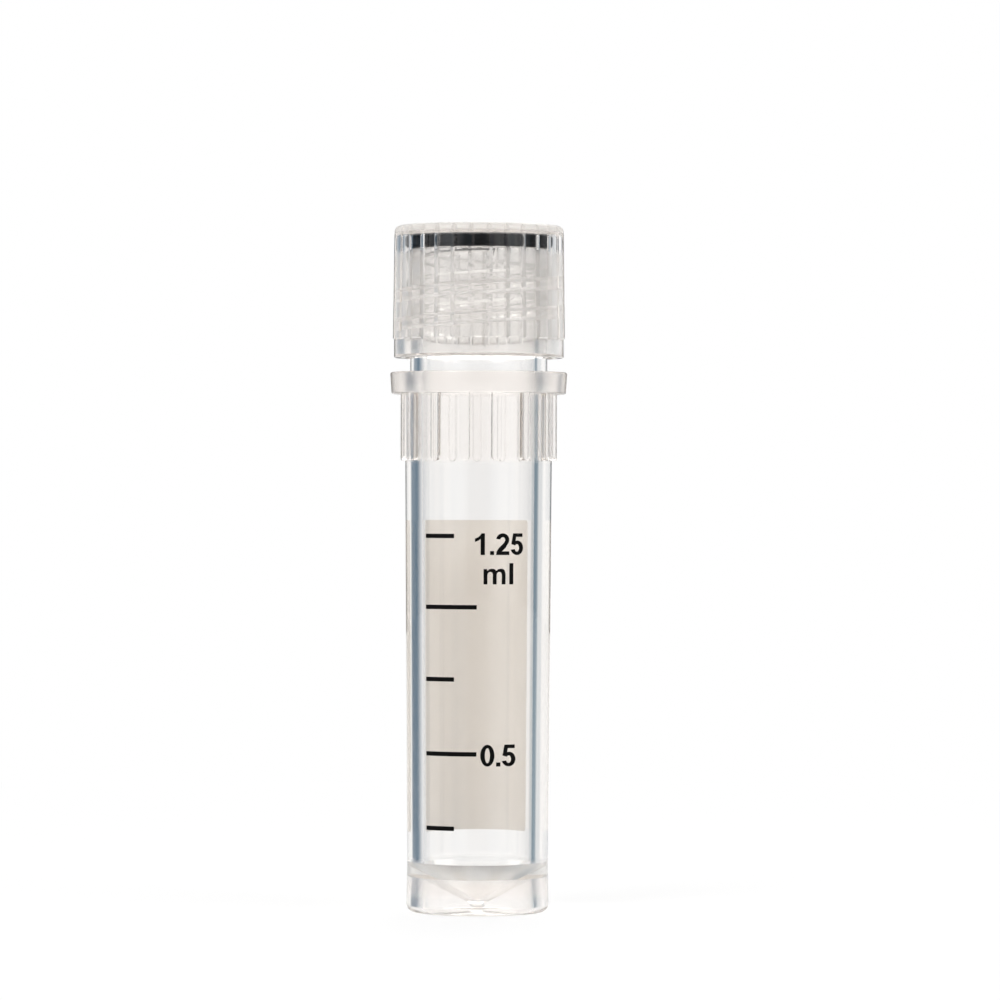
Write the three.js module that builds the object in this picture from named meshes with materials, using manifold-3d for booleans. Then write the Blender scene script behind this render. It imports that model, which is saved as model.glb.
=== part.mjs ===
// A 2 ml screw-cap vial for frozen samples: a clear self-standing tube with an outside
// thread, a knurled screw cap and the black sealing ring between the two.
// Millimetres, +Z up, origin at the centre of the foot, front of the vial towards -Y.

import * as THREE from "three";
import { mergeVertices } from "three/addons/utils/BufferGeometryUtils.js";
import Module from "manifold-3d";

const wasm = await Module();
wasm.setup();

// ---- Tube ------------------------------------------------------------------------------
const TUBE_HEIGHT = 45.7; // foot to mouth
const BORE_RADIUS = 3.95; // at the mouth
const BORE_DRAFT = 0.22; // how much narrower the bore is at its foot
const BARREL_WALL = 1.13; // under the flange
const BARREL_DRAFT = 0.22; // how much narrower the barrel is at its foot
const NECK_WALL = 0.775;
const NECK_LENGTH = 8.5; // flange to mouth
const MOUTH_EDGE = 0.15; // rounding of the two edges of the mouth
const FLANGE_THICKNESS = 1.5;
const FLANGE_OVERHANG = 1.02; // beyond the barrel
const FLANGE_DRAFT = 0.08; // how much narrower the flange is at its underside
const FLANGE_EDGE = 0.12; // rounding

// ---- Conical floor and skirt -----------------------------------------------------------
const SKIRT_DEPTH = 2.4; // foot to the edge of the hollow's roof
const LEDGE_THICKNESS = 1.03; // solid band where the floor meets the wall
const SKIRT_WALL = 0.965; // at the foot
const SKIRT_FLARE = 0.055; // how much the skirt widens towards the foot
const SKIRT_DRAFT = 0.2; // how much its hollow narrows towards the floor
const FOOT_EDGE = 0.55; // rounding of the foot's outer edge
const GATE_CLEARANCE = 0.4; // bench to the gate mark under the cone's tip
const GATE_RADIUS = 0.5;
const GATE_DEPTH = 0.29; // how far the gate mark stands below the cone
const GATE_EDGE = 0.12; // chamfer
const TIP_WALL = 0.8; // floor on the axis, with the gate mark
const TIP_BLUNT = 0.3; // radius of the blunt tip inside
const TIP_RISE = 0.12; // height of that blunt tip

// ---- Ribs under the flange -------------------------------------------------------------
const RIB_COUNT = 15;
const RIB_LENGTH = 4.6;
const RIB_WIDTH = 0.68;
const RIB_HEIGHT = 0.31; // proud of the barrel
const RIB_EDGE = 0.1; // rounding of the crest
const RIB_PHASE = 13.8; // a rib's place, degrees to the right of the front

// ---- Thread ----------------------------------------------------------------------------
const THREAD_PITCH = 2.0; // single start, right-hand
const THREAD_TURNS = 2.6;
const THREAD_HEIGHT = 0.35;
const THREAD_CREST = 0.45; // width of the crest along the axis
const THREAD_ROOT = 0.9; // width of the foot along the axis
const THREAD_FADE = 0.16; // the part of a turn over which each end fades
const THREAD_END_ANGLE = 28; // degrees to the right of the front, at the mouth
const THREAD_END_RISE = 0.06; // middle of the ridge above the mouth at that end
const THREAD_SIDE_GAP = 0.1; // between one thread's crest and the other's root
const THREAD_FLANK_GAP = 0.1; // along the axis, between the flanks that bear
const CAP_THREAD_TURNS = 2.0;
const CAP_THREAD_DELAY = 0.6; // turns below the mouth end of the tube's thread

// ---- Cap and sealing ring --------------------------------------------------------------
const CAP_GAP = 1.0; // flange to the cap's rim
const CAP_WALL = 0.675; // at the rim, outside the bore
const CAP_DRAFT = 0.1; // how much narrower the cap is at its top
const CAP_PLATE = 0.7;
const CAP_EDGE = 0.45; // rounding of the top edge
const RIM_EDGE = 0.1; // rounding
const RIM_LEAD_IN = 0.25; // chamfer inside the rim
const GRIP_COUNT = 30;
const GRIP_START = 1.35; // plain band above the rim
const GRIP_STEP = 0.09; // grip ribs proud of the plain band
const GRIP_DEPTH = 0.2; // grooves below the crests of the ribs
const GRIP_WIDTH = 0.44; // grooves at the crests
const GRIP_RUN_OUT = 0.45; // length over which a groove's lower end comes to a point
const GRIP_PHASE = -4.9; // a groove's place, degrees to the right of the front
const RING_HEIGHT = 0.88;
const RING_WIDTH = 0.98; // radial
const RING_EDGE = 0.3; // rounding
const RING_SEAT_GAP = 0.02; // above and below the ring
const RING_SIDE_GAP = 0.08; // ring to the cap's bore

// ---- Fineness --------------------------------------------------------------------------
const SIDES = 60;
const RING_SIDES = 40;
const THREAD_STEPS = 36; // in one turn
const SINK = 0.3; // how deep a rib or ridge is rooted in its wall
const BURY = 0.06; // depth at which a faded crest ends
const CUT_OVER = 0.3; // how far a cutter reaches past the surface it cuts

// ---- Sizes that follow from these ------------------------------------------------------
const barrelTopRadius = BORE_RADIUS + BARREL_WALL;
const barrelFootRadius = barrelTopRadius - BARREL_DRAFT;
const boreFootRadius = BORE_RADIUS - BORE_DRAFT;
const floorZ = SKIRT_DEPTH + LEDGE_THICKNESS;
const tipZ = GATE_CLEARANCE + TIP_WALL;
const skirtRadius = barrelFootRadius + SKIRT_FLARE;
const hollowRadius = skirtRadius - SKIRT_WALL;
const flangeTopZ = TUBE_HEIGHT - NECK_LENGTH;
const flangeBottomZ = flangeTopZ - FLANGE_THICKNESS;
const flangeRadius = barrelTopRadius + FLANGE_OVERHANG;
const neckRadius = BORE_RADIUS + NECK_WALL;
const capBoreRadius = neckRadius + THREAD_HEIGHT + THREAD_SIDE_GAP;
const capRimRadius = capBoreRadius + CAP_WALL;
const capRimZ = flangeTopZ + CAP_GAP;
const ringZ = TUBE_HEIGHT + RING_SEAT_GAP;
const plateHeight = ringZ + RING_HEIGHT + RING_SEAT_GAP - capRimZ; // above the rim
const capHeight = plateHeight + CAP_PLATE;

const fullTurn = 2 * Math.PI;

// The direction of a place given in degrees to the right of the front.
function fromFront(degrees) {
  return THREE.MathUtils.degToRad(degrees - 90);
}

// ---- Solids from three.js geometry -----------------------------------------------------
function solidOf(geometry) {
  const bare = new THREE.BufferGeometry();
  bare.setAttribute("position", geometry.getAttribute("position"));
  bare.setIndex(geometry.index);
  const merged = mergeVertices(bare);
  const corners = merged.index.array;
  const triangles = [];
  for (let i = 0; i < corners.length; i += 3) {
    const [a, b, c] = corners.slice(i, i + 3);
    if (a !== b && b !== c && c !== a) {
      triangles.push(a, b, c);
    }
  }
  const mesh = new wasm.Mesh({
    numProp: 3,
    vertProperties: new Float32Array(merged.getAttribute("position").array),
    triVerts: new Uint32Array(triangles),
  });
  return new wasm.Manifold(mesh);
}

function geometryOf(solid) {
  const { vertProperties, triVerts } = solid.getMesh();
  const geometry = new THREE.BufferGeometry();
  geometry.setAttribute("position", new THREE.BufferAttribute(vertProperties, 3));
  geometry.setIndex(new THREE.BufferAttribute(triVerts, 1));
  geometry.computeVertexNormals();
  return geometry;
}

// An outline of [radius, height] points, turned round the vertical axis.
function revolved(outline, sides) {
  const profile = outline.map(([radius, height]) => new THREE.Vector2(radius, height));
  return new THREE.LatheGeometry(profile, sides).rotateX(Math.PI / 2);
}

// The points of a rounded edge, between two directions in degrees.
function roundedEdge(radius, height, edge, fromDegrees, toDegrees, steps) {
  const points = [];
  for (let i = 0; i <= steps; i += 1) {
    const degrees = THREE.MathUtils.lerp(fromDegrees, toDegrees, i / steps);
    const direction = THREE.MathUtils.degToRad(degrees);
    points.push([radius + edge * Math.cos(direction), height + edge * Math.sin(direction)]);
  }
  return points;
}

// Moves each vertex of a geometry with a function that changes it in place.
function reshaped(geometry, move) {
  const position = geometry.getAttribute("position");
  const vertex = new THREE.Vector3();
  for (let i = 0; i < position.count; i += 1) {
    vertex.fromBufferAttribute(position, i);
    move(vertex);
    position.setXYZ(i, vertex.x, vertex.y, vertex.z);
  }
  return geometry;
}

// ---- Thread ridges ---------------------------------------------------------------------
// A straight bar of the ridge's section, wrapped round the axis as a helix. Side 1 stands
// outwards from the wall and side -1 inwards. The ridge's upper end is at endAngle, endZ.
function threadRidge({ wallRadius, side, turns, endAngle, endZ, ceiling }) {
  const flank = (THREAD_ROOT - THREAD_CREST) / 2 / THREAD_HEIGHT;
  const crestHalf = THREAD_CREST / 2;
  const footHalf = THREAD_ROOT / 2 + flank * SINK;
  const section = new THREE.Shape([
    new THREE.Vector2(-SINK, -footHalf),
    new THREE.Vector2(THREAD_HEIGHT, -crestHalf),
    new THREE.Vector2(THREAD_HEIGHT, crestHalf),
    new THREE.Vector2(-SINK, footHalf),
  ]);
  const steps = Math.ceil(turns * THREAD_STEPS);
  const bar = new THREE.ExtrudeGeometry(section, { depth: turns, steps, bevelEnabled: false });
  return reshaped(bar, (vertex) => {
    const turnsLeft = turns - vertex.z;
    const fullness = THREE.MathUtils.smoothstep(Math.min(vertex.z, turnsLeft), 0, THREAD_FADE);
    const rise = vertex.x < 0 ? -SINK : fullness * (THREAD_HEIGHT + BURY) - BURY;
    const radius = wallRadius + side * rise;
    const angle = endAngle - turnsLeft * fullTurn;
    const height = endZ - turnsLeft * THREAD_PITCH - side * vertex.y;
    vertex.set(radius * Math.cos(angle), radius * Math.sin(angle), Math.min(height, ceiling));
  });
}

// ---- Tube ------------------------------------------------------------------------------
const tubeOutline = [
  [0, GATE_CLEARANCE],
  [GATE_RADIUS - GATE_EDGE, GATE_CLEARANCE],
  [GATE_RADIUS, GATE_CLEARANCE + GATE_EDGE],
  [GATE_RADIUS, GATE_CLEARANCE + GATE_DEPTH],
  [hollowRadius - SKIRT_DRAFT, SKIRT_DEPTH],
  [hollowRadius, 0],
  ...roundedEdge(skirtRadius - FOOT_EDGE, FOOT_EDGE, FOOT_EDGE, -90, 0, 5),
  [barrelFootRadius, floorZ],
  [barrelTopRadius, flangeBottomZ],
  ...roundedEdge(
    flangeRadius - FLANGE_DRAFT - FLANGE_EDGE,
    flangeBottomZ + FLANGE_EDGE,
    FLANGE_EDGE, -90, 0, 2,
  ),
  ...roundedEdge(flangeRadius - FLANGE_EDGE, flangeTopZ - FLANGE_EDGE, FLANGE_EDGE, 0, 90, 2),
  [neckRadius, flangeTopZ],
  ...roundedEdge(neckRadius - MOUTH_EDGE, TUBE_HEIGHT - MOUTH_EDGE, MOUTH_EDGE, 0, 90, 2),
  ...roundedEdge(BORE_RADIUS + MOUTH_EDGE, TUBE_HEIGHT - MOUTH_EDGE, MOUTH_EDGE, 90, 180, 2),
  [boreFootRadius, floorZ],
  [TIP_BLUNT, tipZ + TIP_RISE],
  [0, tipZ],
];

// One rib, hanging from the flange at the front of the barrel, with a round lower end.
function flangeRib() {
  const half = RIB_WIDTH / 2 - RIB_EDGE;
  const lowest = RIB_EDGE + half - RIB_LENGTH; // centre of the round end
  const outline = new THREE.Shape();
  outline.moveTo(half, 0);
  outline.lineTo(-half, 0);
  outline.lineTo(-half, lowest);
  outline.absarc(0, lowest, half, Math.PI, fullTurn, false);
  const rib = new THREE.ExtrudeGeometry(outline, {
    depth: SINK + RIB_HEIGHT - RIB_EDGE,
    curveSegments: 3,
    bevelThickness: RIB_EDGE,
    bevelSize: RIB_EDGE,
    bevelSegments: 2,
  });
  rib.rotateX(Math.PI / 2);
  return rib.translate(0, SINK - barrelTopRadius, flangeBottomZ);
}

function tubeSolid() {
  const ridge = threadRidge({
    wallRadius: neckRadius,
    side: 1,
    turns: THREAD_TURNS,
    endAngle: fromFront(THREAD_END_ANGLE),
    endZ: TUBE_HEIGHT + THREAD_END_RISE,
    ceiling: TUBE_HEIGHT - MOUTH_EDGE / 2,
  });
  let tube = solidOf(revolved(tubeOutline, SIDES)).add(solidOf(ridge));
  for (let i = 0; i < RIB_COUNT; i += 1) {
    const turned = THREE.MathUtils.degToRad(RIB_PHASE) + (i * fullTurn) / RIB_COUNT;
    tube = tube.add(solidOf(flangeRib().rotateZ(turned)));
  }
  return tube;
}

// ---- Cap, in its own frame with the rim at height 0 --------------------------------------
const capOutline = [
  [0, plateHeight],
  [capBoreRadius, plateHeight],
  [capBoreRadius, RIM_LEAD_IN],
  [capBoreRadius + RIM_LEAD_IN, 0],
  ...roundedEdge(capRimRadius - RIM_EDGE, RIM_EDGE, RIM_EDGE, -90, 0, 2),
  [capRimRadius, GRIP_START - GRIP_STEP],
  [capRimRadius + GRIP_STEP, GRIP_START],
  ...roundedEdge(
    capRimRadius + GRIP_STEP - CAP_DRAFT - CAP_EDGE,
    capHeight - CAP_EDGE,
    CAP_EDGE, 0, 90, 4,
  ),
  [0, capHeight],
];

// One groove's cutter, at the front: a long wedge through three stations. It leans with
// the cap's draft, and its lower end leaves the wall so that the groove ends in a point.
function gripCutter() {
  const spread = (GRIP_WIDTH / 2) * ((GRIP_DEPTH + CUT_OVER) / GRIP_DEPTH);
  const section = new THREE.Shape([
    new THREE.Vector2(-GRIP_DEPTH, 0),
    new THREE.Vector2(CUT_OVER, -spread),
    new THREE.Vector2(CUT_OVER, spread),
  ]);
  const stations = [
    { height: GRIP_START - GRIP_RUN_OUT, radius: capRimRadius + GRIP_STEP + GRIP_DEPTH },
    { height: GRIP_START, radius: capRimRadius + GRIP_STEP },
    { height: capHeight, radius: capRimRadius + GRIP_STEP - CAP_DRAFT },
  ];
  const steps = stations.length - 1;
  const cutter = new THREE.ExtrudeGeometry(section, { depth: steps, steps, bevelEnabled: false });
  return reshaped(cutter, (vertex) => {
    const { height, radius } = stations[Math.round(vertex.z)];
    vertex.set(vertex.y, -(radius + vertex.x), height);
  });
}

function capSolid() {
  // Both ridges are this wide together where their flanks face each other.
  const overlap = THREAD_HEIGHT - THREAD_SIDE_GAP;
  const flank = (THREAD_ROOT - THREAD_CREST) / 2 / THREAD_HEIGHT;
  const drop = THREAD_CREST + flank * overlap + THREAD_FLANK_GAP;
  const ridge = threadRidge({
    wallRadius: capBoreRadius,
    side: -1,
    turns: CAP_THREAD_TURNS,
    endAngle: fromFront(THREAD_END_ANGLE) - CAP_THREAD_DELAY * fullTurn,
    endZ: TUBE_HEIGHT + THREAD_END_RISE - CAP_THREAD_DELAY * THREAD_PITCH - drop - capRimZ,
    ceiling: plateHeight,
  });
  let cap = solidOf(revolved(capOutline, SIDES)).add(solidOf(ridge));
  for (let i = 0; i < GRIP_COUNT; i += 1) {
    const turned = THREE.MathUtils.degToRad(GRIP_PHASE) + (i * fullTurn) / GRIP_COUNT;
    cap = cap.subtract(solidOf(gripCutter().rotateZ(turned)));
  }
  return cap;
}

// ---- Sealing ring, in its own frame with its underside at height 0 -------------------------
function ringGeometry() {
  const outer = capBoreRadius - RING_SIDE_GAP - RING_EDGE;
  const inner = capBoreRadius - RING_SIDE_GAP - RING_WIDTH + RING_EDGE;
  const upper = RING_HEIGHT - RING_EDGE;
  const outline = [
    ...roundedEdge(outer, RING_EDGE, RING_EDGE, -90, 0, 3),
    ...roundedEdge(outer, upper, RING_EDGE, 0, 90, 3),
    ...roundedEdge(inner, upper, RING_EDGE, 90, 180, 3),
    ...roundedEdge(inner, RING_EDGE, RING_EDGE, 180, 270, 3),
  ];
  outline.push(outline[0]);
  return geometryOf(solidOf(revolved(outline, RING_SIDES)));
}

// ---- The vial ------------------------------------------------------------------------------
function piece(name, geometry, height, look) {
  const mesh = new THREE.Mesh(geometry, new THREE.MeshStandardMaterial(look));
  mesh.name = name;
  mesh.position.z = height;
  return mesh;
}

const clear = { color: 0xf4f3f0, roughness: 0.12, metalness: 0, transparent: true, opacity: 0.35 };
const frosted = { color: 0xe6e5e2, roughness: 0.4, metalness: 0, transparent: true, opacity: 0.6 };
const black = { color: 0x16181b, roughness: 0.55, metalness: 0 };

const vial = new THREE.Group();
const closure = new THREE.Group();
closure.add(
  piece("sealing_ring", ringGeometry(), ringZ, black),
  piece("screw_cap", geometryOf(capSolid()), capRimZ, frosted),
);
vial.add(piece("tube", geometryOf(tubeSolid()), 0, clear), closure);

export default vial;
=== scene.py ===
"""The look of a screw-cap vial for frozen samples: clear tube, hazy cap, black ring and prints."""

import math

import bpy
from bpy.props import FloatProperty, FloatVectorProperty, IntProperty, PointerProperty
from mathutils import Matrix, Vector


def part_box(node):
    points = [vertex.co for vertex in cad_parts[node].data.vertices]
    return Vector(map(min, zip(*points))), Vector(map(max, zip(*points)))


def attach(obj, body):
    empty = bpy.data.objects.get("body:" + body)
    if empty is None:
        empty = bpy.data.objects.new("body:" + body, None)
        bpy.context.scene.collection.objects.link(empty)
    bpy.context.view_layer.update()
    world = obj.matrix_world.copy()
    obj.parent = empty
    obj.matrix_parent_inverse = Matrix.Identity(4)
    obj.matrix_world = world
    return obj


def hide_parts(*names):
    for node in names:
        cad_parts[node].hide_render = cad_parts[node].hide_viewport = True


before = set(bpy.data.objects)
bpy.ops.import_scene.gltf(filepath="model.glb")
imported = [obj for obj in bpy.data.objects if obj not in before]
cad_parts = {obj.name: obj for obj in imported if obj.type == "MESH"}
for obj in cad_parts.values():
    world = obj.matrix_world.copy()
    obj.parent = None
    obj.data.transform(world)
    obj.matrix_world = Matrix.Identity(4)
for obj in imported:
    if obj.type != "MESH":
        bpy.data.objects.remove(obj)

bl_info = {
    "name": "Cryovial",
    "version": (1, 0, 0),
    "blender": (4, 5, 0),
    "location": "3D View > Sidebar > Cryovial",
    "description": "Makes a screw-cap sample vial round its packed frame, piece by piece",
    "category": "Object",
}

MM = 0.001
FULL_TURN = 2 * math.pi
SAME_POINT = 1e-7  # metres: drawn points nearer than this are one
SAME_VERTEX = 1e-6  # metres: the same for the points of a spun shape

TUBE_LOW, TUBE_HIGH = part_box("tube")
CAP_LOW, CAP_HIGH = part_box("screw_cap")
RING_LOW, RING_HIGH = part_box("sealing_ring")


# ---- Sizes and colours ----


def length(name, description, default):
    """A size in metres, shown to a hundredth of a millimetre."""
    return FloatProperty(
        name=name,
        description=description,
        default=default,
        min=0.0,
        precision=5,
        unit="LENGTH",
        subtype="DISTANCE",
    )


def angle(name, description, degrees):
    """An angle given in degrees."""
    return FloatProperty(
        name=name,
        description=description,
        default=math.radians(degrees),
        unit="ROTATION",
        subtype="ANGLE",
    )


def share(name, description, default):
    """A number from 0 to 1."""
    return FloatProperty(
        name=name, description=description, default=default, min=0.0, max=1.0, subtype="FACTOR"
    )


def colour(name, description, default):
    """A linear red, green and blue."""
    return FloatVectorProperty(
        name=name, description=description, default=default, min=0.0, max=1.0, subtype="COLOR"
    )


class TubeSizes(bpy.types.PropertyGroup):
    """The clear tube"""

    height: length("Height", "Foot to mouth", TUBE_HIGH.z)
    bore: length("Bore radius", "Inside radius at the mouth", 3.95 * MM)
    bore_draft: length("Bore draft", "How much narrower the bore is at its foot", 0.22 * MM)
    barrel_wall: length("Barrel wall", "Wall under the flange", 1.13 * MM)
    barrel_draft: length("Barrel draft", "How much narrower the barrel is at its foot", 0.22 * MM)
    neck_wall: length("Neck wall", "Wall behind the thread", 0.775 * MM)
    neck_length: length("Neck length", "Flange to mouth", 8.5 * MM)
    flange_thickness: length("Flange thickness", "Height of the flange", 1.5 * MM)
    flange_radius: length("Flange radius", "At its upper edge", TUBE_HIGH.x)
    skirt_depth: length("Skirt depth", "Foot to the roof of the hollow", 2.4 * MM)
    ledge: length("Ledge", "Solid band where the floor meets the wall", 1.03 * MM)
    skirt_wall: length("Skirt wall", "At the foot", 0.965 * MM)
    rib_count: IntProperty(
        name="Ribs", description="Ribs under the flange", default=15, min=3, max=60
    )
    rib_length: length("Rib length", "Down from the flange", 4.6 * MM)
    rib_width: length("Rib width", "Round the barrel", 0.68 * MM)
    rib_height: length("Rib height", "Proud of the barrel", 0.31 * MM)
    rib_phase: angle("Rib place", "One rib's place, to the right of the front", 13.8)


class ThreadSizes(bpy.types.PropertyGroup):
    """The screw thread on the tube's neck and its mate inside the cap"""

    pitch: length("Pitch", "Rise in one turn", 2.0 * MM)
    height: length("Height", "Crest above its wall", 0.35 * MM)
    crest: length("Crest width", "Along the axis", 0.45 * MM)
    root: length("Root width", "Along the axis", 0.9 * MM)
    side_gap: length("Side gap", "One thread's crest to the other's wall", 0.1 * MM)
    flank_gap: length("Flank gap", "Along the axis, between the flanks that bear", 0.1 * MM)


class CapSizes(bpy.types.PropertyGroup):
    """The screw cap and its grip"""

    wall: length("Wall", "At the rim, outside the bore", 0.675 * MM)
    draft: length("Draft", "How much narrower the cap is at its top", 0.1 * MM)
    plate: length("Top plate", "Thickness", 0.7 * MM)
    grip_count: IntProperty(
        name="Grooves", description="Grip grooves round the cap", default=30, min=3, max=90
    )
    grip_start: length("Plain band", "Rim to the lower ends of the grip ribs", 1.35 * MM)
    grip_step: length("Grip step", "Grip ribs proud of the plain band", 0.09 * MM)
    grip_depth: length("Groove depth", "Below the crests", 0.2 * MM)
    grip_width: length("Groove width", "At the crests", 0.44 * MM)
    grip_phase: angle("Groove place", "One groove's place, to the right of the front", -4.9)


class RingSizes(bpy.types.PropertyGroup):
    """The sealing ring, whose height is the gap that it fills"""

    width: length("Width", "Radial", 0.98 * MM)
    edge: length("Edge", "Rounding", 0.3 * MM)


class PrintSizes(bpy.types.PropertyGroup):
    """The writing patch and the graduations"""

    ink_depth: length("Ink thickness", "Half of it stands proud of the wall", 0.04 * MM)
    patch_low: length("Patch foot", "Lower edge above the bench", 5.4 * MM)
    patch_high: length("Patch top", "Upper edge above the bench", 27.0 * MM)
    patch_start: angle("Patch start", "First side, to the right of the front", 117.0)
    patch_end: angle("Patch end", "Second side, to the right of the front", 258.0)
    patch_corner: length("Patch corner", "Rounding", 0.35 * MM)
    mark_height: length("Mark thickness", "Height of a graduation line", 0.30 * MM)


class Colours(bpy.types.PropertyGroup):
    """The colours of the vial and of the room round it"""

    tube: colour("Tube", "Tint of the clear plastic", (1.0, 0.998, 0.996))
    tube_depth: colour("Tube depth", "Left of white light after 10 mm", (0.88, 0.83, 0.77))
    cap: colour("Cap", "Tint of the cap's plastic", (1.0, 0.99, 0.985))
    cap_depth: colour("Cap depth", "Left of white light after 10 mm", (0.92, 0.85, 0.79))
    haze: share("Haze", "How milky the cap and the thick parts of the tube look", 0.4)
    tube_milk: colour("Tube haze", "What the tube's haze looks like", (0.92, 0.86, 0.82))
    # Partly painted reflection: the floor's real milky haze, made cool and grey to stand in for
    # the blue-grey reflections of dark surroundings on the ledge.
    floor_haze_and_painted_reflection: colour("Floor haze", "The same in the floor's thick plastic", (0.72, 0.76, 0.78))
    cap_milk: colour("Cap haze", "What the cap's haze looks like", (0.84, 0.82, 0.79))
    ring: colour("Ring", "Rubber", (0.003, 0.0035, 0.004))
    # Painted light: the patch's inner side, seen through the wall, gets this whiter colour to make
    # up for the light that the tube's walls take; the writing face has patch_face.
    white_ink_with_painted_light: colour("White ink", "Under the writing patch", (0.97, 0.94, 0.90))
    patch_face: colour("Patch face", "The side one writes on", (0.76, 0.70, 0.63))
    black_ink: colour("Black ink", "Graduations and numerals", (0.001, 0.001, 0.001))
    floor: colour("Floor", "Bench and backdrop", (0.9, 0.9, 0.9))
    board: colour("Left board", "What the walls' left sides show", (0.045, 0.12, 0.195))
    far_board: colour("Right board", "What the walls' right sides show", (0.19, 0.27, 0.33))


class StageSizes(bpy.types.PropertyGroup):
    """The camera, the floor and the room's light"""

    camera_distance: length("Camera distance", "From the vial's axis", 352.0 * MM)
    camera_height: length("Camera height", "Above the bench", 28.4 * MM)
    camera_side: length("Camera to the right", "Of the vial's axis", 1.49 * MM)
    camera_roll: angle("Camera roll", "Lean of the camera to the right", -0.15)
    lens: FloatProperty(
        name="Lens", description="Focal length in mm on a 36 mm sensor", default=183.5, min=10
    )
    floor_radius: length("Floor radius", "Round the vial", 0.7)
    world_light: FloatProperty(
        name="Room light", description="Strength of the pale room", default=0.75, min=0.0
    )


# ---- Modelling ----


def deselect():
    bpy.ops.object.select_all(action="DESELECT")


def pick(piece):
    """Makes one object the only selected and active one."""
    deselect()
    piece.select_set(True)
    bpy.context.view_layer.objects.active = piece


def just_added(name):
    """Names the object that an operator has just made."""
    piece = bpy.context.object
    piece.name = piece.data.name = name
    return piece


def drop(piece):
    bpy.data.objects.remove(piece)


def arc(x, z, across, up, start, end, steps):
    """Points on an ellipse round (x, z), between two directions in degrees."""
    turns = [math.radians(start + (end - start) * i / steps) for i in range(steps + 1)]
    return [(x + across * math.cos(t), z + up * math.sin(t)) for t in turns]


def rounded(radius, height, edge, start, end, steps):
    """The points of a rounded edge, between two directions in degrees."""
    return arc(radius, height, edge, edge, start, end, steps)


def draw(points):
    """In edit mode, draws a line through (x, z) points on the upright plane y = 0."""
    bpy.ops.mesh.select_all(action="DESELECT")
    bpy.ops.mesh.primitive_plane_add(size=MM)
    bpy.ops.mesh.merge(type="CENTER")
    bpy.ops.transform.translate(value=(points[0][0], 0, points[0][1]))
    for (x0, z0), (x1, z1) in zip(points, points[1:]):
        bpy.ops.mesh.extrude_vertices_move(
            TRANSFORM_OT_translate={"value": (x1 - x0, 0, z1 - z0)}
        )


def drawing(name, lines):
    """A new object that holds the drawn lines, left in edit mode with all of it selected."""
    deselect()
    bpy.ops.mesh.primitive_plane_add(size=MM)
    piece = just_added(name)
    bpy.ops.object.mode_set(mode="EDIT")
    bpy.ops.mesh.delete(type="VERT")
    for points in lines:
        draw(points)
    bpy.ops.mesh.select_all(action="SELECT")
    bpy.ops.mesh.remove_doubles(threshold=SAME_POINT)
    return piece


def lathe(name, outline, sides):
    """Spins a half-section of (radius, height) points round the upright axis."""
    piece = drawing(name, [outline])
    bpy.ops.mesh.spin(steps=sides, angle=FULL_TURN, center=(0, 0, 0), axis=(0, 0, 1))
    bpy.ops.mesh.select_all(action="SELECT")
    bpy.ops.mesh.remove_doubles(threshold=SAME_VERTEX)
    bpy.ops.mesh.normals_make_consistent(inside=False)
    bpy.ops.object.mode_set(mode="OBJECT")
    return piece


def select_edges(piece, chosen):
    """In object mode, selects the edges for which chosen(one end, other end) holds."""
    mesh = piece.data
    for part in (mesh.vertices, mesh.edges, mesh.polygons):
        part.foreach_set("select", [False] * len(part))
    for edge in mesh.edges:
        a, b = (mesh.vertices[i] for i in edge.vertices)
        if chosen(a.co, b.co):
            edge.select = a.select = b.select = True


def edit_edges(piece, chosen, action, **settings):
    """Runs an edit-mode operator on the chosen edges."""
    pick(piece)
    bpy.ops.object.mode_set(mode="EDIT")
    bpy.ops.mesh.select_mode(type="EDGE")
    bpy.ops.object.mode_set(mode="OBJECT")
    select_edges(piece, chosen)
    bpy.ops.object.mode_set(mode="EDIT")
    action(**settings)
    bpy.ops.mesh.select_mode(type="VERT")
    bpy.ops.object.mode_set(mode="OBJECT")


def round_edges(piece, chosen, radius, segments):
    """Bevels the chosen edges."""
    bevel = bpy.ops.mesh.bevel
    edit_edges(piece, chosen, bevel, offset=radius, segments=segments, affect="EDGES")


def moved(piece, move):
    """Moves each vertex of a piece to move(x, y, z)."""
    for vertex in piece.data.vertices:
        vertex.co = move(*vertex.co)
    piece.data.update()
    return piece


def turned_copies(piece, count, phase):
    """One object that holds count copies of a piece, spaced round the axis."""
    pieces = []
    for i in range(count):
        pick(piece)
        bpy.ops.object.duplicate(linked=False)
        copy = bpy.context.object
        copy.rotation_euler.z = phase + i * FULL_TURN / count
        bpy.ops.object.transform_apply(location=True, rotation=True, scale=True)
        pieces.append(copy)
    drop(piece)
    deselect()
    for copy in pieces:
        copy.select_set(True)
    bpy.context.view_layer.objects.active = pieces[0]
    bpy.ops.object.join()
    return bpy.context.object


def combine(piece, tool, operation):
    """Joins tool to the piece, or cuts it away, with an applied Boolean."""
    pick(piece)
    bpy.ops.object.modifier_add(type="BOOLEAN")
    step = piece.modifiers[-1]
    step.operation, step.solver, step.object = operation, "MANIFOLD", tool
    bpy.ops.object.modifier_apply(modifier=step.name)
    drop(tool)
    if not piece.data.polygons:
        raise RuntimeError(f"{piece.name} has no faces left")


def facing_out(piece):
    """Turns all faces of a closed shell outwards."""
    pick(piece)
    bpy.ops.object.mode_set(mode="EDIT")
    bpy.ops.mesh.select_all(action="SELECT")
    bpy.ops.mesh.normals_make_consistent(inside=False)
    bpy.ops.object.mode_set(mode="OBJECT")
    return piece


def smoothed(piece, degrees=35):
    """Shades smoothly up to an angle. The large faces set the normals, so they stay true."""
    pick(piece)
    bpy.ops.object.shade_smooth_by_angle(angle=math.radians(degrees))
    bpy.ops.object.modifier_add(type="WEIGHTED_NORMAL")
    step = piece.modifiers[-1]
    step.mode, step.keep_sharp = "FACE_AREA_WITH_ANGLE", True
    bpy.ops.object.modifier_apply(modifier=step.name)
    return piece


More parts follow.
